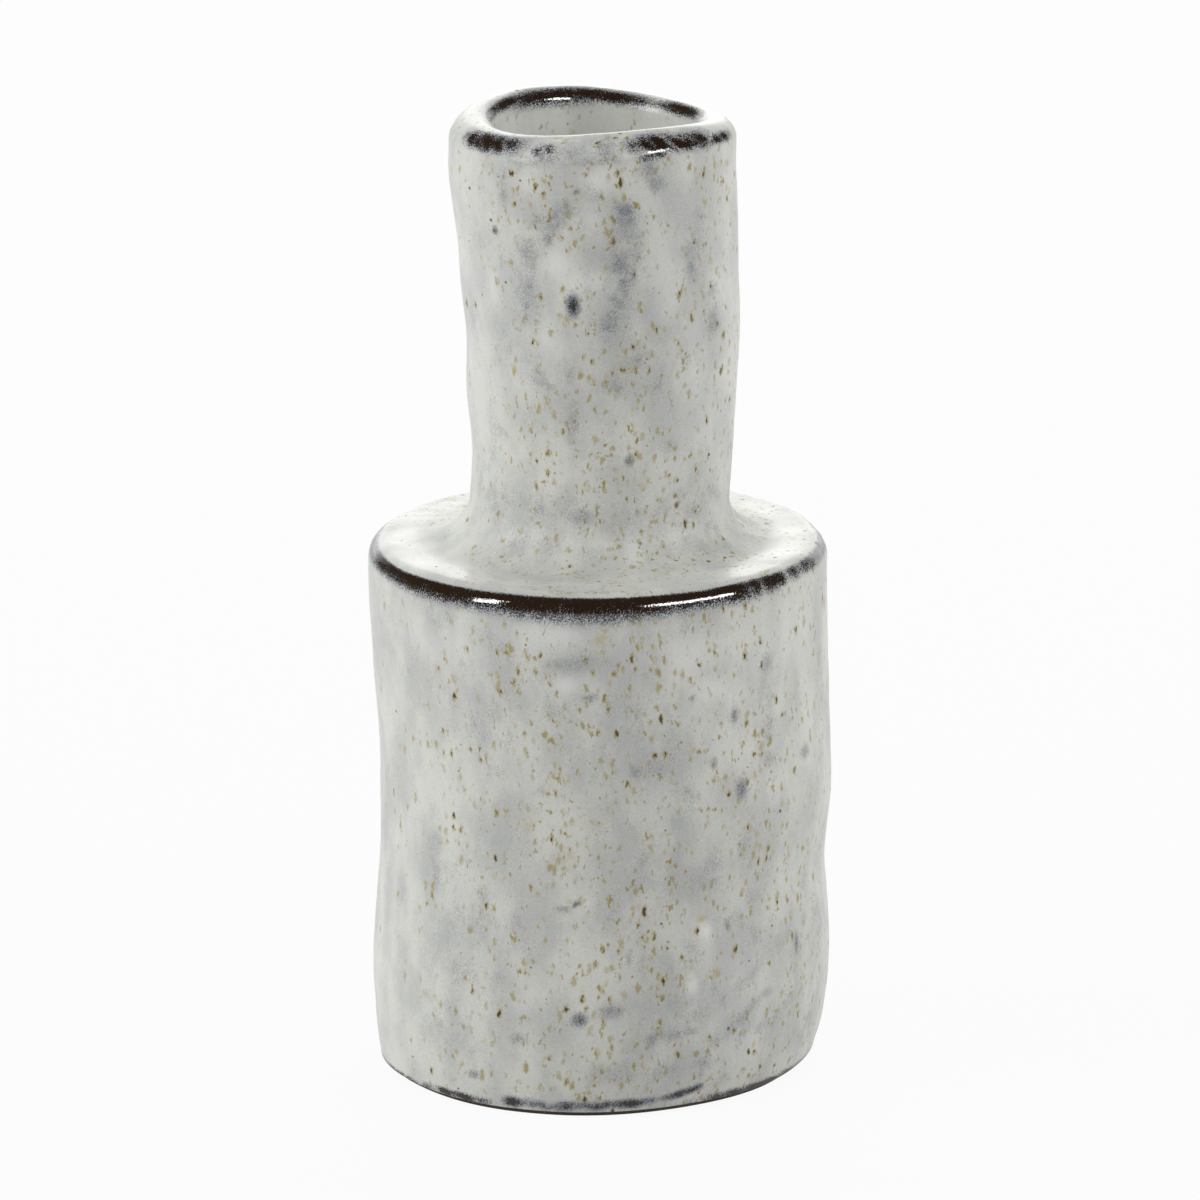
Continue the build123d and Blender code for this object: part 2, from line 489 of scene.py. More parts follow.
# clouds and grain have a size in mm, the noise's detail, and the range of noise over which they
# show; a cover is how much of the colour below is hidden
glazeLook = {
    "cream": (0.635, 0.643, 0.592, 1),
    "grey": (0.405, 0.415, 0.407, 1),
    "blueGrey": (0.23, 0.238, 0.256, 1),
    "ochre": (0.30, 0.23, 0.035, 1),
    "rust": (0.045, 0.026, 0.007, 1),
    "sootAndShade": (0.012, 0.011, 0.012, 1),
    "smoke": (0.09, 0.095, 0.11, 1),
    "iron": (0.0195, 0.0105, 0.0047, 1),
    "milkAndSheen": (0.79, 0.795, 0.76, 1),
    "stain": (0.44, 0.375, 0.19, 1),
    # roughness of dry glaze, of settled glaze and of bare iron
    "dull": 0.60,
    "settled": 0.10,
    "gloss": 0.06,
    # clouds are this much longer down the wall, and the shares add up to how grey the cream turns
    "run": 1.6,
    "wide": {"size": 24.0, "detail": 2.0, "range": (0.35, 0.65)},
    "small": {"size": 6.5, "detail": 4.0, "range": (0.34, 0.66)},
    "grain": {"size": 0.22, "detail": 2.0},
    "greyShares": {"everywhere": 0.12, "wide": 0.24, "small": 0.52, "grain": 1.1},
    "smudge": {"size": 3.4, "detail": 3.0, "range": (0.56, 0.82), "grain": 0.5, "cover": 0.62},
    "smudgeInWide": (0.1, 0.8),
    "milkAndSheenCover": 0.6,
    # patches in which flecks crowd, soft strokes, sharp flecks with stained rings and rusty hearts, dark dots
    "patches": {"size": 11.0, "detail": 1.0, "range": (0.3, 0.6), "least": 0.4},
    "strokes": {"size": 1.0, "detail": 2.0, "range": (0.64, 0.70), "cover": 0.8},
    "strokePlace": {"stretch": (1, 1, 1.7), "shift": (3.3, 1.1, 0.7)},
    "flecks": {
        "cell": 1.1, "stretch": 1.7, "shift": (5.1, 2.3, 1.9), "radius": 0.23, "soft": 0.16, "halo": 0.30,
        "share": 0.85, "ragged": 2.2, "pull": 0.95, "haloCover": 0.30, "leastCover": 0.35,
    },
    "heart": {"range": (0.08, 0.5), "chance": (0.5, 0.85)},
    "dots": {
        "cell": 3.4, "stretch": 1.0, "shift": (9.7, 4.4, 3.3), "radius": 0.055, "soft": 0.02, "halo": 0.03,
        "share": 0.7, "ragged": 4.0, "pull": 0.05, "cover": 0.8,
    },
    # painted marks: what breaks up stains, smoke with its painted shade, and torn edges, and the colours of a
    # growing mark, which also colour the painted shade
    "stainClouds": {"size": 1.2, "detail": 3.0, "range": (0.35, 0.65)},
    "smokeAndShadeClouds": {"size": 3.6, "detail": 4.0, "range": (0.32, 0.68), "dark": (0.25, 1.45)},
    "inkAndShadeGrain": 2.2,
    "inkAndShadeSteps": (("blueGrey", 0.04, 0.55, 1.0), ("sootAndShade", 0.40, 1.0, 1.0)),
    "tornEdge": {"size": 2.2, "detail": 3.0, "range": (0.02, 0.5), "ragged": 0.5, "grain": 2.0},
    "breakSteps": (("blueGrey", 0.04, 0.42, 0.75), ("smoke", 0.24, 0.60, 0.9), ("iron", 0.45, 0.78, 1.0)),
    "peel": {"size": 0.45, "detail": 2.0, "depth": 0.02},
}


# flecks over a colour: strokes and flecks of ochre, rings of stain, hearts of rust and a few dots of soot
def fleckedColour(tree, look, colour, crowd):
    strokes, flecks, dots = look["strokes"], look["flecks"], look["dots"]
    stroke = times(tree, cloudMask(tree, flowing(tree, **look["strokePlace"]), strokes), crowd)
    colour = layered(tree, times(tree, stroke, strokes["cover"]), colour, look["ochre"])
    mask, halo, heart, chance = specks(tree, flecks, crowd)
    colour = layered(tree, times(tree, halo, flecks["haloCover"]), colour, look["stain"])
    strength = ranged(tree, chance, flecks["leastCover"], 1.0)
    colour = layered(tree, times(tree, mask, strength), colour, look["ochre"])
    rusty = eased(tree, chance, *look["heart"]["chance"])
    core = times(tree, eased(tree, heart, *look["heart"]["range"]), rusty)
    colour = layered(tree, core, colour, look["rust"])
    dot = specks(tree, dots, 1.0)[0]
    return layered(tree, times(tree, dot, dots["cover"]), colour, look["sootAndShade"])


# the painted marks over a colour: stains, then ink and smoke with painted shade, then thin glaze that breaks
# to iron; gives the colour and the roughness, which falls where the glaze settled and where iron lies bare
def markedColour(tree, look, colour, plain, grain):
    stain = times(tree, painted(tree, "stain"), cloudMask(tree, plain, look["stainClouds"]))
    colour = layered(tree, stain, colour, look["stain"])
    puffs = look["smokeAndShadeClouds"]
    cloudy = ranged(tree, clouds(tree, plain, puffs), *puffs["dark"], *puffs["range"])
    # the smoke runs also hold painted shade along the lip's front and round the neck's root
    ink = sums(tree, "MAXIMUM", painted(tree, "ink"), times(tree, painted(tree, "smoke"), cloudy))
    ink = total(tree, ink, times(tree, times(tree, grain, ink), look["inkAndShadeGrain"]))
    colour = steeped(tree, ink, colour, look, look["inkAndShadeSteps"])[0]
    edge, thin = look["tornEdge"], painted(tree, "thin")
    ragged = times(tree, sums(tree, "SUBTRACT", clouds(tree, plain, edge), noiseMiddle), edge["ragged"])
    loose = total(tree, times(tree, grain, edge["grain"]), ragged)
    thin = total(tree, thin, times(tree, loose, eased(tree, thin, *edge["range"])))
    colour, bare = steeped(tree, thin, colour, look, look["breakSteps"])
    roughness = ranged(tree, painted(tree, "level"), look["dull"], look["settled"])
    return colour, ranged(tree, bare, roughness, look["gloss"])


# pale glaze over iron clay: cream and grey clouds that run down the wall, grainy blue-grey smudges and ochre
# flecks, with the painted marks where the piece has them
def glazeMaterial(name, look, hasMarks):
    material, tree, shader = freshMaterial(name, (look["dull"] + look["settled"]) / 2)
    running, plain = flowing(tree, (1, 1, look["run"])), flowing(tree)
    grain = sums(tree, "SUBTRACT", clouds(tree, plain, look["grain"]), noiseMiddle)
    wide, small = cloudMask(tree, running, look["wide"]), cloudMask(tree, running, look["small"])
    shares, smudge, patches = look["greyShares"], look["smudge"], look["patches"]
    grey = total(tree, times(tree, wide, shares["wide"]), times(tree, small, shares["small"]))
    grey = total(tree, grey, shares["everywhere"], times(tree, grain, shares["grain"]))
    colour = layered(tree, grey, look["cream"], look["grey"])

    grainy = total(tree, clouds(tree, running, smudge), times(tree, grain, smudge["grain"]))
    inWide = eased(tree, wide, *look["smudgeInWide"])
    blue = times(tree, times(tree, eased(tree, grainy, *smudge["range"]), inWide), smudge["cover"])
    colour = layered(tree, blue, colour, look["blueGrey"])

    crowd = ranged(tree, cloudMask(tree, plain, patches), patches["least"], 1.0)
    if hasMarks:
        # milky glaze, with painted reflection on the flat of the shoulder and painted sheen down the sides of
        # the neck
        colour = layered(tree, times(tree, painted(tree, "milkAndSheenMask"), look["milkAndSheenCover"]), colour, look["milkAndSheen"])
        crowd = times(tree, crowd, painted(tree, "crowd"))
    colour = fleckedColour(tree, look, colour, crowd)
    if hasMarks:
        colour, roughness = markedColour(tree, look, colour, plain, grain)
        tree.links.new(roughness, shader.inputs["Roughness"])
    tree.links.new(colour, shader.inputs["Base Color"])
    bump = {"Height": clouds(tree, plain, look["peel"]), "Distance": look["peel"]["depth"] * mm}
    tree.links.new(addNode(tree, "Bump", bump)[0], shader.inputs["Normal"])
    return material


clayLook = {
    "dark": (0.030, 0.020, 0.014, 1),
    "warm": (0.085, 0.055, 0.036, 1),
    "roughness": 0.72,
    "patches": {"size": 7.0, "detail": 4.0, "range": (0.35, 0.7)},
    "sand": {"size": 0.5, "detail": 3.0, "range": (0.3, 0.75), "depth": 0.15, "strength": 0.5},
}


# bare fired clay: dark brown, with warmer patches and sandy grain
def clayMaterial(look):
    material, tree, shader = freshMaterial("bare stoneware", look["roughness"])
    plain, sand = flowing(tree), look["sand"]
    grain = clouds(tree, plain, sand)
    tone = times(tree, cloudMask(tree, plain, look["patches"]), eased(tree, grain, *sand["range"]))
    tree.links.new(layered(tree, tone, look["dark"], look["warm"]), shader.inputs["Base Color"])
    bump = {"Height": grain, "Strength": sand["strength"], "Distance": sand["depth"] * mm}
    tree.links.new(addNode(tree, "Bump", bump)[0], shader.inputs["Normal"])
    return material


linerLook = dict(glazeLook, cream=(0.74, 0.74, 0.68, 1), grey=(0.62, 0.62, 0.60, 1))

clay = clayMaterial(clayLook)
outerGlaze = glazeMaterial("dipped glaze", glazeLook, True)
linerGlaze = glazeMaterial("liner glaze", linerLook, False)
print("materials ready: clay, dipped glaze, liner glaze")

# the outer coat, in mm; a set of waves has a mean size, how many lobes run round the vase, their
# wavelengths along it and a seed
coat = {
    "thickness": 0.65,
    "line": 0.8,
    "turns": 272,
    "fine": 1.1,
    "coarse": 0.14,
    "dents": {"size": 0.05, "lobes": (2, 16), "waves": (14, 60), "count": 36, "seed": 7},
    "ripples": {"size": 0.012, "lobes": (20, 60), "waves": (4, 12), "count": 60, "seed": 8},
    "torn": {"size": 0.22, "lobes": (8, 60), "waves": (1.5, 7), "count": 60, "seed": 9},
    "highest": 0.12,
    "lipCalmShare": 0.7,
    "endCalm": 3.0,
    "breakPower": 2.4,
    "patchPower": 3,
    "neckCrowdShare": 0.1,
    "milkCrowdShare": 0.6,
    "plainLevel": 0.5,
    "crestReach": 1.8,
    "bandShare": 0.6,
}

# thin glaze round the shoulder's edge: angle round the vase, how bare, reach up and down in mm
shoulderBreak = (
    (-180, 0.85, 1, 1.7), (-140, 0.8, 0.9, 1.5), (-105, 0.75, 0.9, 1.4), (-85, 0.78, 0.8, 1.4),
    (-72, 0.84, 0.6, 1.6), (-60, 1.02, 0.35, 2), (-30, 1.05, 0.5, 2.5), (0, 1.05, 0.45, 3.2),
    (30, 1.05, 0.35, 2.3), (40, 1.02, 0.55, 2.3), (48, 0.98, 0.8, 2), (58, 0.82, 0.8, 1.5),
    (66, 0.68, 0.8, 1.4), (78, 0.62, 0.8, 1.3), (100, 0.65, 0.8, 1.3), (140, 0.8, 1, 1.6),
)

# pale glaze that ran down over the dark edge: angle, half width in degrees, how much it covers
paleRuns = (
    (42, 1.3, 0.3), (46.5, 1.2, 0.4), (57, 1.4, 0.55), (63.5, 1.8, 0.4), (-118, 2.4, 0.5),
    (168, 2, 0.5),
)

# bare patches elsewhere: stretch, share of its length, angle and half width in degrees, reach in
# mm, how bare
barePatches = (
    ("innerLip", 0.52, 180, 34, 1.25, 1),
    ("innerLip", 0.62, -152, 30, 1.45, 1),
    ("innerLip", 0.52, -122, 20, 0.95, 1),
    ("innerLip", 0.52, -104, 17, 0.8, 0.9),
    ("innerLip", 0.46, 126, 19, 1.1, 1),
    ("outerLip", 0.62, -49, 18, 1.4, 0.98),
    ("outerLip", 0.5, -21, 5, 1, 0.62),
    ("outerLip", 0.5, 26, 11, 1.4, 1),
    ("outerLip", 0.18, 26, 6, 1.5, 0.95),
    ("outerLip", 0.42, 43, 15, 1.4, 1),
    ("outerLip", 0.32, 64, 11, 0.9, 0.85),
    ("outerLip", 0.4, 150, 30, 0.9, 0.9),
    ("outerLip", 0.4, -150, 24, 0.9, 0.8),
    ("foot", 1.1, -40, 11, 0.6, 0.9),
    ("foot", 0.4, 50, 24, 0.9, 1),
    ("foot", 0.4, 80, 24, 0.9, 0.9),
    ("foot", 0.3, -75, 30, 0.5, 0.8),
    ("foot", 0.7, 130, 40, 0.6, 0.8),
    ("foot", 0.7, -130, 30, 0.6, 0.7),
)

# smudges and burnt spots: angle, height, half width and half height in mm, how dark
inkMarks = (
    (-11, 123.2, 1, 1.7, 1.15), (-44.2, 134.2, 0.6, 0.7, 0.95), (-19.5, 133.7, 1, 1.6, 0.45),
    (12.9, 138.3, 1.7, 1.4, 0.62), (-6.3, 141.9, 0.5, 0.5, 0.7), (-37.5, 140.8, 1, 1.4, 0.35),
    (-31.1, 122.8, 0.5, 0.7, 0.7), (41.6, 128.1, 1.2, 2, 0.4), (-8.5, 89.5, 3.4, 2, 0.34),
    (12, 98.8, 0.9, 1, 0.6), (-13.4, 112.3, 0.6, 1.6, 0.28), (30.4, 100.5, 2, 2, 0.2),
    (36.9, 113.9, 2, 2, 0.2), (15.5, 114.6, 0.8, 0.7, 0.4), (18, 17.8, 1.6, 1.5, 0.24),
    (42.7, 32.5, 2.4, 2.4, 0.22), (29.5, 38.4, 1.6, 1.6, 0.26), (7.4, 45.3, 3, 2, 0.18),
    (19, 46.3, 3, 2, 0.18), (-15.8, 51.3, 1.2, 1.2, 0.26), (-3.1, 71.6, 1.6, 0.8, 0.3),
    (36.7, 50, 1.2, 1.8, 0.62), (28.8, 54.8, 0.7, 1, 0.5), (58.1, 23.3, 0.7, 1.9, 0.65),
    (-5.4, 15.8, 1.3, 1.1, 0.75), (2.3, 17.1, 2.3, 1.5, 0.42), (22.8, 13.2, 2, 0.9, 0.35),
    (-10, 32.8, 1.6, 0.7, 0.42), (-6.4, 33.8, 0.6, 0.6, 0.75), (8.1, 54.4, 1.2, 1.2, 0.4),
    (6.9, 25.2, 0.6, 1.4, 0.38), (34, 28.9, 0.8, 1.4, 0.4), (22.8, 26.4, 1.4, 1.3, 0.28),
    (-20.7, 12.2, 2, 1, 0.34), (-33.6, 5.5, 1.1, 0.8, 0.55), (27.3, 7.8, 2.4, 1.4, 0.3),
    (-34.4, 28.9, 2.4, 1.8, 0.24), (-2.7, 65.9, 1.5, 0.9, 0.42), (35.7, 61.5, 0.8, 1.6, 0.55),
    (61.3, 53, 1.6, 1.4, 0.42), (23.8, 65.1, 0.7, 0.7, 0.4), (-6.9, 70.8, 5, 1.4, 0.28),
    (-11.5, 63.5, 2.6, 1.8, 0.26), (-27.5, 62.7, 2.2, 2.6, 0.22),
)

# smoky runs of glaze, and painted shade along the front of the lip and round the front of the neck's root:
# the points each follows as angle and height, half width in mm, how dark
smokeAndShadeTrails = (
    (((-10.8, 139), (-22.5, 135.3), (-29.4, 131.2), (-31.8, 125.8), (-30.4, 121.7)), 2.5, 0.29),
    (((12.9, 138.3), (14.2, 134), (10.4, 129.5), (7.9, 124.9), (4.1, 119.5)), 2.8, 0.36),
    (((16.3, 115), (4.5, 110.6)), 2.4, 0.24),
    (((-38.3, 146.2), (-37.3, 140.1)), 1.6, 0.26),
    (((22.9, 145.3), (27, 142.4)), 1.9, 0.36),
    (((41.1, 130.7), (43.9, 126.7)), 1.8, 0.26),
    (((53.5, 123), (53.5, 118.3)), 2.3, 0.24),
    (((45.6, 135.8), (44.5, 132.8)), 1.7, 0.24),
    (((-12.1, 107.9), (-13, 102.4)), 1.6, 0.25),
    (((-30.9, 112.7), (-23.9, 110.6)), 3.2, 0.24),
    (((-5.4, 142.9), (-0.4, 141.1)), 2.2, 0.24),
    (((-68.3, 122.4), (-68.4, 114.9)), 2, 0.18),
    (((46, 68.4), (47.2, 62), (46.5, 54.3)), 1.9, 0.27),
    (((13.3, 12.4), (21.2, 13.5), (27, 16)), 1.6, 0.29),
    (((25.4, 9.3), (37.2, 13.8), (47.5, 17.3)), 1.4, 0.22),
    (((35.6, 18.6), (55.7, 25.6)), 1.4, 0.2),
    (((43.9, 11.4), (60.7, 16.2)), 1.4, 0.2),
    (((-0.6, 7.1), (25.4, 7.3)), 2.2, 0.18),
    (((12, 54.7), (22.5, 51)), 3, 0.2),
    (((9.5, 36.8), (20, 36), (29.5, 35.7)), 2.6, 0.17),
    (((-47.6, 45.6), (-47.6, 39.3)), 2, 0.17),
    # a thin dark line along the crease just above the foot, across the front
    (((-24, 1.9), (-12, 1.8), (0, 1.9), (10, 2.1)), 0.8, 1),
    (((10, 2.1), (20, 2.7), (27, 3.6)), 0.65, 1.15),
    # painted shade along the front of the lip
    (((-40, 148.3), (0, 148.3), (50, 148.3)), 2.4, 0.3),
    # painted shade round the front of the neck's root, in two bands
    (((-60, 90), (0, 89), (60, 90)), 5, 0.2),
    (((-50, 85), (0, 84.5), (50, 85)), 3.5, 0.15),
    # a broad darker patch low on the left of the body
    (((-44, 8), (-40, 22)), 9, 0.14),
)

# thick milky places, and painted sheen down both sides of the neck: angle, height, half width and half height
# in mm, how milky
milkAndSheenSpots = (
    (-16.3, 129.4, 2, 2.6, 0.9), (-9.6, 126.9, 2.2, 1.8, 0.9), (-1.3, 127.2, 1.8, 1.8, 0.8),
    (2, 143.4, 2.4, 2, 0.6), (-26.1, 143.7, 2, 2, 0.5), (30.3, 126.6, 2.8, 5.5, 0.7),
    (-48.2, 123.9, 2.4, 3.4, 0.5), (-23.9, 117.6, 2.8, 3.4, 0.4), (-0.4, 137.2, 2, 2.2, 0.5),
    (-8.3, 67.7, 2.6, 1.6, 0.9), (29.7, 65.8, 3.2, 2.4, 0.7), (27.3, 28.8, 1.1, 1.8, 1.2),
    (23.1, 20.5, 1.1, 1.7, 1.2), (-4.8, 33.6, 2, 1.6, 0.7), (35.4, 64.1, 1.8, 2.6, 0.6),
    # the two tall spots at 66 degrees either side of the neck are painted sheen
    (-66, 114, 5, 22, 0.5), (66, 114, 6, 22, 0.5), (42, 112, 5, 14, 0.35),
    (-10.6, 74.9, 9, 2.4, 0.6), (25.1, 71.9, 8, 3.2, 0.7), (-41.7, 71.2, 8, 3.4, 0.5),
    # the last spot is a broad paler patch low on the right of the body
    (51, 71.7, 6, 3.4, 0.5), (38, 20, 7, 7, 0.22),
)

# milky glaze with painted reflection on the flat of the shoulder, and milky glaze along the crest of the lip:
# angle and how milky
flatMilkAndReflection = (
    (-180, 0.33), (-100, 0.33), (-50, 0.08), (-20, 0.45), (0, 0.55), (45, 0.65), (80, 0.95), (130, 0.45),
)
crestMilk = (
    (-180, 0.3), (-110, 0.3), (-65, 0), (-30, 0), (0, 0), (30, 0), (55, 0.6), (85, 1.5), (130, 0.5),
)

# yellowish stains round crystals: angle, height, half width and half height in mm, how strong
stainSpots = (
    (-6.6, 33.9, 1.5, 0.9, 0.9), (-2.1, 46.3, 1.2, 1, 0.5), (-9.9, 41.2, 1.4, 1, 0.6),
    (26.4, 30.3, 0.9, 0.9, 1), (21.8, 22.1, 0.9, 0.9, 1), (0.7, 75.1, 1, 2.2, 0.9),
    (10.7, 78.3, 0.7, 2, 1), (-19.7, 45.9, 1.4, 1.2, 0.5), (-6.6, 141.8, 1, 1, 0.7),
    (-44.5, 134, 1, 0.9, 0.7), (13.4, 98.7, 1, 1, 0.8), (18.6, 94.2, 0.8, 1, 0.7),
    (10, 113.6, 1.4, 1.1, 0.7), (-0.4, 100.1, 1, 0.9, 0.4),
)

# ochre runs down the back of the bore: as above
boreStains = (
    (-167, 142.6, 0.5, 1.7, 1), (-162, 139.4, 0.6, 1.6, 1), (168, 141, 0.5, 0.9, 0.6),
)

# how thickly the flecks lie round the body: angle and share
crowdShares = (
    (-180, 0.9), (-120, 0.7), (-70, 0.25), (-50, 0.4), (-25, 0.95), (0, 1.1), (40, 1.05), (75, 0.8),
    (130, 1),
)

# where the glaze settled smooth or dried dull: stretch, share of its length, reach in mm or none for
# a share of the length, change of level
levelBands = (
    ("shoulderFlat", 0.5, None, 0.5),
    ("root", 0.5, None, -0.5),
    ("crest", 0.5, 1.2, 0.5),
    ("outerLip", 0.4, 1.6, -0.5),
)


# fine waves round and up the wall from seeded sines, as finger marks leave, scaled to a mean size
def fingerWaves(surface, look):
    chance, count = np.random.default_rng(look["seed"]), look["count"]
    lobes = chance.integers(*look["lobes"], count)
    waves = chance.uniform(*look["waves"], count)
    turns = chance.uniform(0, math.tau, count)
    height = 0
    for lobe, wave, turn in zip(lobes, waves, turns):
        height = height + np.cos(lobe * surface["around"] + math.tau * surface["along"] / wave + turn)
    return look["size"] * height / math.sqrt(count / 2)


# what the marks need to know of the coat's outside: the turn of each column, the way along the section, the
# radius and height of each row, and the start and length of each stretch
def surfaceOf(outside):
    outer = joined(*outside.values())
    lengths = [wayAlong(points)[-1] for points in outside.values()]
    starts = np.cumsum(lengths) - lengths
    return {
        "around": turnAngles(coat["turns"]),
        "along": wayAlong(outer)[:, None],
        "radius": outer[:, :1],
        "height": outer[:, 1:],
        "stretches": dict(zip(outside, zip(starts, lengths))),
    }


halfway = 0.5


# a band across the section: a bell round a share of a stretch's length, as wide as its reach in mm
# or else as a share of the length
def bandOn(surface, stretch, reach=None, share=halfway):
    start, length = surface["stretches"][stretch]
    return bell(surface["along"], start + share * length, reach or coat["bandShare"] * length)


# finger marks: dents and ripples along the outward normal, calmer on the lip and none at the ends
def fingerMarks(surface):
    around, along, height = surface["around"], surface["along"], surface["height"]
    push = fingerWaves(surface, coat["dents"]) + fingerWaves(surface, coat["ripples"])
    onLip = easeIn(vase["lipSeat"], vase["height"], height)
    push = np.minimum(push, coat["highest"]) * (1 - coat["lipCalmShare"] * onLip)
    push = push * easeIn(0, coat["endCalm"], along) * easeIn(0, coat["endCalm"], along[-1] - along)
    slope = np.gradient(np.hstack([surface["radius"], height]), axis=0)
    slope = slope / np.linalg.norm(slope, axis=1)[:, None]
    outwards = push * slope[:, 1:]
    return np.stack([outwards * np.sin(around), -outwards * np.cos(around), -push * slope[:, :1]], axis=-1)


# where the glaze is thin: a band along the shoulder's edge, cut by pale runs, and ragged patches on the lip
# and the foot
def thinGlaze(surface):
    around, table = surface["around"], np.array(shoulderBreak)
    bare, reachUp, reachDown = [roundTheVase(table[:, [0, column]], around) for column in (1, 2, 3)]
    for middle, halfWidth, cover in paleRuns:
        bare = bare * (1 - cover * bell(turnFrom(around, middle), 0, halfWidth))
    start, length = surface["stretches"]["shoulderEdge"]
    fromEdge = surface["along"] - (start + halfway * length)
    thin = bare * bell(fromEdge, 0, np.where(fromEdge > 0, reachUp, reachDown), coat["breakPower"])
    torn = 1 + fingerWaves(surface, coat["torn"])
    for stretch, share, middle, halfWidth, reach, howBare in barePatches:
        patch = howBare * bell(turnFrom(around, middle), 0, halfWidth, coat["patchPower"])
        patch = patch * bandOn(surface, stretch, reach, share)
        thin = np.maximum(thin, patch if stretch == "innerLip" else patch * torn)
    return thin


# spots: a bell across times a bell up, the strongest where two meet
def spotted(surface, spots):
    paint = 0
    for middle, height, halfWidth, halfHeight, strength in spots:
        across = np.radians(turnFrom(surface["around"], middle)) * surface["radius"]
        spot = strength * bell(across, 0, halfWidth) * bell(surface["height"], height, halfHeight)
        paint = np.maximum(paint, spot)
    return paint


# smoky runs and painted shade: a bell of the distance from the nearest point of each leg, unrolled at the
# row's radius
def smokeAndShade(surface):
    paint = 0
    for points, halfWidth, dark in smokeAndShadeTrails:
        for (startTurn, startHeight), (endTurn, endHeight) in zip(points, points[1:]):
            across = np.radians(turnFrom(surface["around"], startTurn)) * surface["radius"]
            up = surface["height"] - startHeight
            runAcross = math.radians(endTurn - startTurn) * surface["radius"]
            runUp = endHeight - startHeight
            share = np.clip((across * runAcross + up * runUp) / (runAcross**2 + runUp**2), 0, 1)
            away = np.hypot(across - share * runAcross, up - share * runUp)
            paint = np.maximum(paint, dark * bell(away, 0, halfWidth))
    return paint


# all marks of the coat's outside, with painted shade among the smoke, painted sheen among the milky spots and
# painted reflection on the flat of the shoulder; flecks thin out under milky glaze and painted sheen, but not
# on the flat of the shoulder
def coatMarks(surface):
    around, along, height = surface["around"], surface["along"], surface["height"]
    onOutside = surface["radius"] > vase["bore"] + walls["lipInnerRound"]
    mouthStart = surface["stretches"]["innerLip"][0]
    inMouth = easeIn(0, vase["lipSeat"] - vase["dipFloor"], along - mouthStart)
    onCrest = roundTheVase(crestMilk, around) * bandOn(surface, "crest", coat["crestReach"])
    # milky glaze and painted reflection on the flat of the shoulder
    flatMilkAndReflectionBand = roundTheVase(flatMilkAndReflection, around) * bandOn(surface, "shoulderFlat")
    milkAndSheen = np.maximum(np.maximum(spotted(surface, milkAndSheenSpots) * onOutside, inMouth), onCrest)
    crowd = roundTheVase(crowdShares, around)
    crowd = crowd * (1 + coat["neckCrowdShare"] * easeIn(vase["shoulder"], vase["coilTop"], height))
    level = np.full_like(milkAndSheen, coat["plainLevel"])
    for stretch, share, reach, change in levelBands:
        level += change * bandOn(surface, stretch, reach, share)
    return {
        "thin": thinGlaze(surface),
        "ink": spotted(surface, inkMarks) * onOutside,
        "smoke": smokeAndShade(surface) * onOutside,
        "level": level,
        "milkAndSheenMask": np.maximum(milkAndSheen, flatMilkAndReflectionBand),
        "stain": np.where(onOutside, spotted(surface, stainSpots), spotted(surface, boreStains)),
        "crowd": crowd * (1 - coat["milkCrowdShare"] * np.minimum(milkAndSheen, 1)),
    }


# outer coat: outside of the vase from above the foot to the dip line in the bore, and back along the clay,
# where it has no relief and plain marks
def makeOuterGlaze():
    outside, inside = stretches(0, coat["fine"]), stretches(coat["thickness"], coat["coarse"])
    for side in (outside, inside):
        side["foot"] = between(side["foot"], coat["line"], vase["height"])
    outer, inner = joined(*outside.values()), joined(*inside.values())[::-1]
    surface = surfaceOf(outside)
    relief = np.pad(fingerMarks(surface), ((0, len(inner)), (0, 0), (0, 0)))
    piece = turnedPiece("outerGlaze", np.concatenate([outer, inner]), coat["turns"], relief)
    plainMarks = {"level": coat["plainLevel"], "crowd": roundTheVase(crowdShares, surface["around"])}
    for name, values in coatMarks(surface).items():
        hidden = np.zeros((len(inner), coat["turns"])) + plainMarks.get(name, 0)
        attribute = piece.data.attributes.new(name, "FLOAT", "POINT")
        attribute.data.foreach_set("value", np.concatenate([values, hidden]).ravel().astype(np.float32))
    settle(piece, "outer_glaze", outerGlaze)


makeOuterGlaze()

liner = {"turns": 128, "rows": 12}


# corners of the space inside the body, floor to ceiling, moved in by the inset; the seam coils cut them at
# 45 degrees
def cavityCorners(inset):
    radius, cut = vase["cavityRadius"] - inset, vase["seamLeg"] - inset * (2 - math.sqrt(2))
    floor, ceiling = vase["cavityFloor"] + inset, vase["cavityCeiling"] - inset
    return [(radius - cut, floor), (radius, floor + cut), (radius, ceiling - cut), (radius - cut, ceiling)]


# poured liner: along the clay from the middle of the floor up the wall, under the shoulder and up the bore,
# then back down one coat further in
def makeLinerGlaze():
    thickness, bore, top = coat["thickness"], vase["bore"], vase["dipFloor"]
    floor, ceiling, clayBore = vase["cavityFloor"], vase["cavityCeiling"], bore + vase["clayInset"]
    path = [(0, floor), *cavityCorners(0), (clayBore, ceiling), (clayBore, top)]
    path += [(bore, top), (bore, ceiling - thickness), *cavityCorners(thickness)[::-1]]
    section = through([*path, (0, floor + thickness)], liner["rows"])
    settle(turnedPiece("linerGlaze", section, liner["turns"]), "liner_glaze", linerGlaze)


makeLinerGlaze()

clayCut = {
    "turns": 128,
    "fine": 0.4,
    "rootCoilDepth": 0.5,
    "rows": {"slab": 8, "body": 30, "neck": 24, "coil": 5, "lip": 4},
}


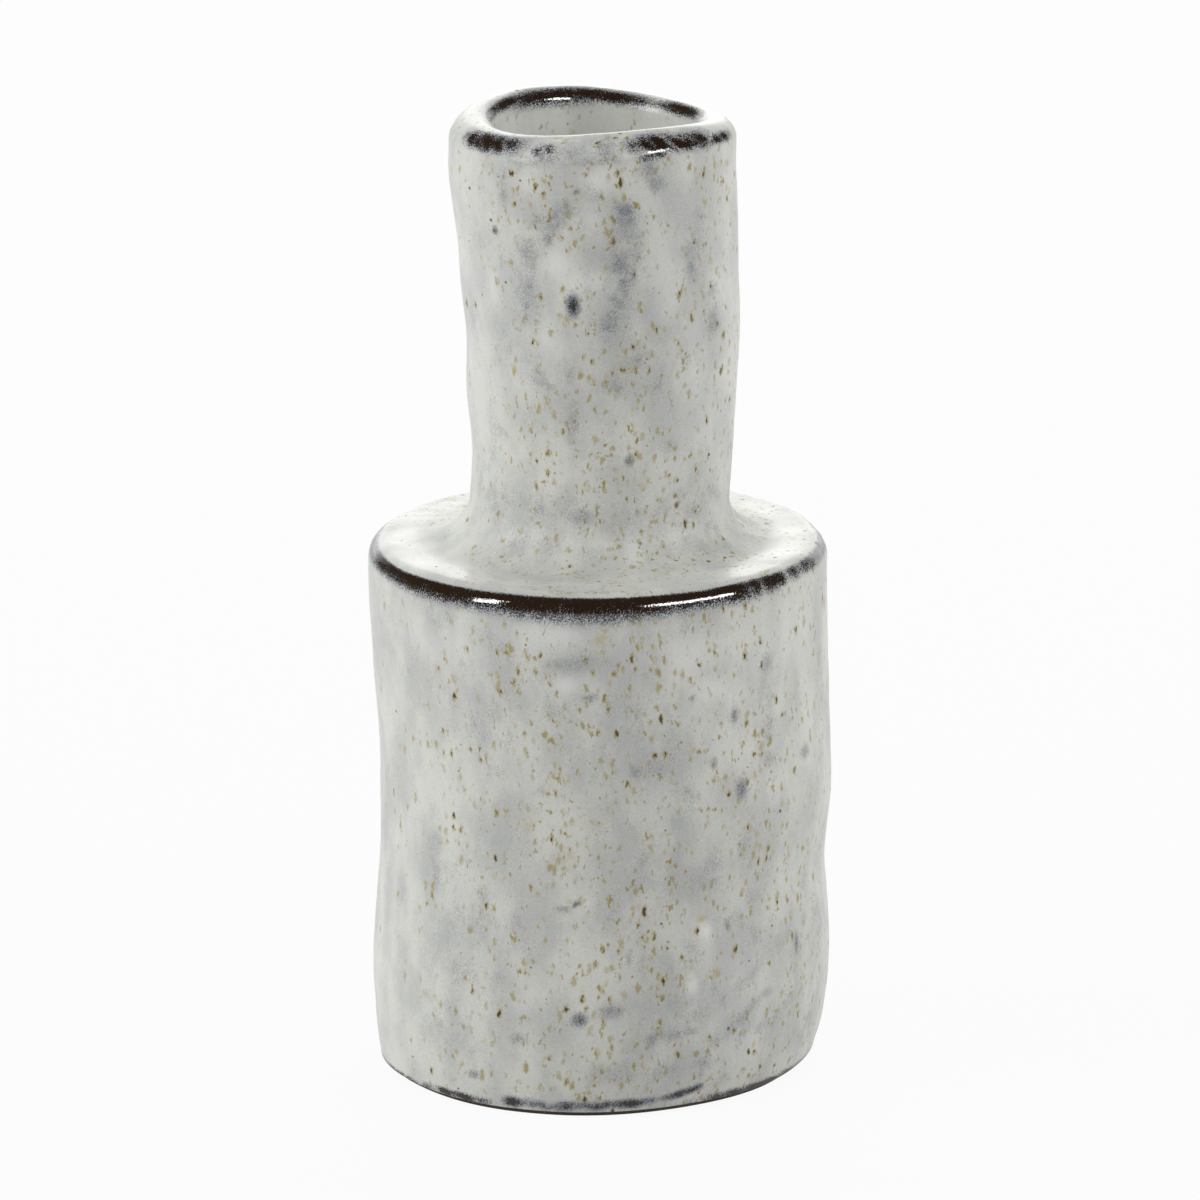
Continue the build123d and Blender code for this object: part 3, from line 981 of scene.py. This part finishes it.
# the clay pieces: closed sections cut from the same outline, one coat further in
def makeClay():
    inset, rows, edge = vase["clayInset"], clayCut["rows"], stretches(vase["clayInset"], clayCut["fine"])
    floor, ceiling, cavity = vase["cavityFloor"], vase["cavityCeiling"], vase["cavityRadius"]
    leg, coilTop, lipSeat = vase["seamLeg"], vase["coilTop"], vase["lipSeat"]
    clayBore, flat = vase["bore"] + inset, vase["shoulder"] - inset
    seat = edge["neckWall"][0, 0] - clayCut["rootCoilDepth"]
    bodySide = joined(edge["foot"], edge["bodyWall"])
    bodySide[bodySide[:, 1] <= inset + tiny, 1] = 0  # the bare foot stands on the floor
    base, middle = between(bodySide, 0, floor), between(bodySide, floor, ceiling)
    upper = joined(between(bodySide, ceiling, vase["height"]), edge["shoulderEdge"])
    neckLow = between(edge["neckWall"], 0, coilTop)
    neckMiddle = between(edge["neckWall"], coilTop, lipSeat)
    neckTop = between(edge["neckWall"], lipSeat, vase["height"])
    lip = joined(neckTop, edge["outerLip"], edge["crest"], edge["innerLip"])
    shoulderTop = run(upper[-1], (clayBore, flat), rows["slab"])
    shoulderUnder = run((clayBore, ceiling), upper[0], rows["slab"])[:-1]
    baseSeam = [(cavity, floor), (cavity, floor + leg), (cavity - leg, floor), (cavity, floor)]
    shoulderSeam = [(cavity, ceiling), (cavity - leg, ceiling), (cavity, ceiling - leg), (cavity, ceiling)]
    baseRuns = run((0, 0), base[0], rows["slab"]), base, run(base[-1], (0, floor), rows["slab"])
    seatUp = run((seat, flat), (seat, coilTop), rows["coil"])
    neckBore = run((clayBore, lipSeat), (clayBore, flat), rows["neck"])
    sections = (
        ("baseSlab", "base_slab", joined(*baseRuns)),
        ("bodyWall", "body_wall", joined(middle, run((cavity, ceiling), (cavity, floor), rows["body"]))),
        ("shoulderSlab", "shoulder_slab", joined(upper, shoulderTop, shoulderUnder)),
        ("neckWall", "neck_wall", joined(seatUp, neckMiddle, neckBore)),
        ("neckRootCoil", "neck_root_coil", joined(edge["root"], neckLow, seatUp[::-1])),
        ("lipRoll", "lip_roll", joined(lip, run((clayBore, lipSeat), neckTop[0], rows["lip"])[:-1])),
        ("baseSeamCoil", "base_seam_coil", through(baseSeam, rows["coil"])[:-1]),
        ("shoulderSeamCoil", "shoulder_seam_coil", through(shoulderSeam, rows["coil"])[:-1]),
    )
    for name, node, section in sections:
        settle(turnedPiece(name, section, clayCut["turns"]), node, clay)


makeClay()

# metres and watts; a lamp has its name, place, width and height, power, and whether it lights matt surfaces
# and shows in glossy ones
studio = {
    "floorSize": 12.0,
    "floorColour": (0.50, 0.50, 0.50, 1),
    "floorGlow": 0.94,
    "ambient": 0.55,
    "ceiling": 0.07,
    "wallTop": (0.72, 0.58),
    "wallFront": (0.78, 0.92),
    "lamps": (
        ("leftPanel", (-1.33, -0.38, 0.50), (0.9, 1.4), 15.0, True, False),
        ("rightPanel", (1.35, -0.40, 0.50), (0.8, 1.4), 10.2, True, False),
        ("backFill", (0.0, 0.95, 1.05), (0.8, 0.5), 9.0, True, False),
        ("backPanel", (0.0, 1.60, 0.48), (2.6, 0.8), 5.0, True, True),
        ("leftBox", (-0.81, -0.52, 0.60), (0.17, 0.36), 6.8, False, True),
        ("rightBox", (0.72, -0.60, 0.61), (0.52, 0.17), 10.0, False, True),
    ),
    "aim": (0.0, 0.0, 0.08),
}


# 1 for rays from the camera, mirror-like or through glass, else 0
def seenDirectly(tree):
    rays = addNode(tree, "LightPath")
    mirrored = sums(tree, "MAXIMUM", rays["Is Glossy Ray"], rays["Is Transmission Ray"])
    return sums(tree, "MAXIMUM", rays["Is Camera Ray"], mirrored)


# the cleared tree of a material or a world
def emptyTree(owner):
    owner.use_nodes = True
    owner.node_tree.nodes.clear()
    return owner.node_tree


# a pale floor that looks white but keeps part of its shadow
def makeFloor():
    half = studio["floorSize"] / 2
    mesh = bpy.data.meshes.new("floor")
    square = [(-half, -half, 0), (half, -half, 0), (half, half, 0), (-half, half, 0)]
    mesh.from_pydata(square, [], [(0, 1, 2, 3)])
    floor = addObject("floor", mesh)
    material = bpy.data.materials.new("pale floor")
    tree = emptyTree(material)
    matt = addNode(tree, "BsdfDiffuse", {"Color": studio["floorColour"]})[0]
    white = addNode(tree, "Emission", {"Strength": 1.0})[0]
    share = times(tree, seenDirectly(tree), studio["floorGlow"])
    mixed = addNode(tree, "MixShader", {0: share, 1: matt, 2: white})[0]
    addNode(tree, "OutputMaterial", {"Surface": mixed})
    mesh.materials.append(material)


# a plain surround that lights evenly; the camera and gloss see it as a white wall behind the vase under a
# dim ceiling
def makeSurround():
    world = bpy.data.worlds.new("pale surround")
    bpy.context.scene.world = world
    tree = emptyTree(world)
    towards = addNode(tree, "TexCoord")["Generated"]
    towards = addNode(tree, "SeparateXYZ", {0: towards})
    below = eased(tree, towards["Z"], *studio["wallTop"])
    behind = eased(tree, towards["Y"], *studio["wallFront"])
    shown = ranged(tree, times(tree, below, behind), studio["ceiling"], 1.0)
    level = ranged(tree, seenDirectly(tree), studio["ambient"], shown)
    surround = addNode(tree, "Background", {"Color": (1, 1, 1, 1), "Strength": level})[0]
    addNode(tree, "OutputWorld", {"Surface": surround})


# wide panels light the vase from both sides and from behind, and small boxes only show as highlights
def makeLamps():
    for name, place, size, power, lightsMatt, showsInGloss in studio["lamps"]:
        light = bpy.data.lights.new(name, "AREA")
        light.shape = "RECTANGLE"
        light.size, light.size_y = size
        light.energy = power
        lamp = addObject(name, light)
        lamp.location = place
        lamp.rotation_euler = (Vector(studio["aim"]) - Vector(place)).to_track_quat("-Z", "Y").to_euler()
        lamp.visible_camera = False
        lamp.visible_diffuse = lightsMatt
        lamp.visible_glossy = showsInGloss


makeFloor()
makeSurround()
makeLamps()

# metres, but for the scale and the width of the image in pixels
view = {
    "distance": 2.0,
    "height": 0.585,
    "aimHeight": 0.0724,
    "sideways": 0.00005,
    "pixelsPerMetre": 6562.0,
    "imageWidth": 1200,
}


# camera above the lip, looking a little down: its lens makes one metre at the aim as many pixels as the
# photograph shows
def makeCamera():
    data = bpy.data.cameras.new("camera")
    camera = addObject("camera", data)
    camera.location = (view["sideways"], -view["distance"], view["height"])
    towards = Vector((view["sideways"], 0, view["aimHeight"])) - camera.location
    camera.rotation_euler = towards.to_track_quat("-Z", "Y").to_euler()
    data.lens = view["pixelsPerMetre"] * towards.length / view["imageWidth"] * data.sensor_width
    bpy.context.scene.camera = camera


makeCamera()
bpy.context.scene.view_settings.view_transform = "Standard"
print("studio and camera ready")
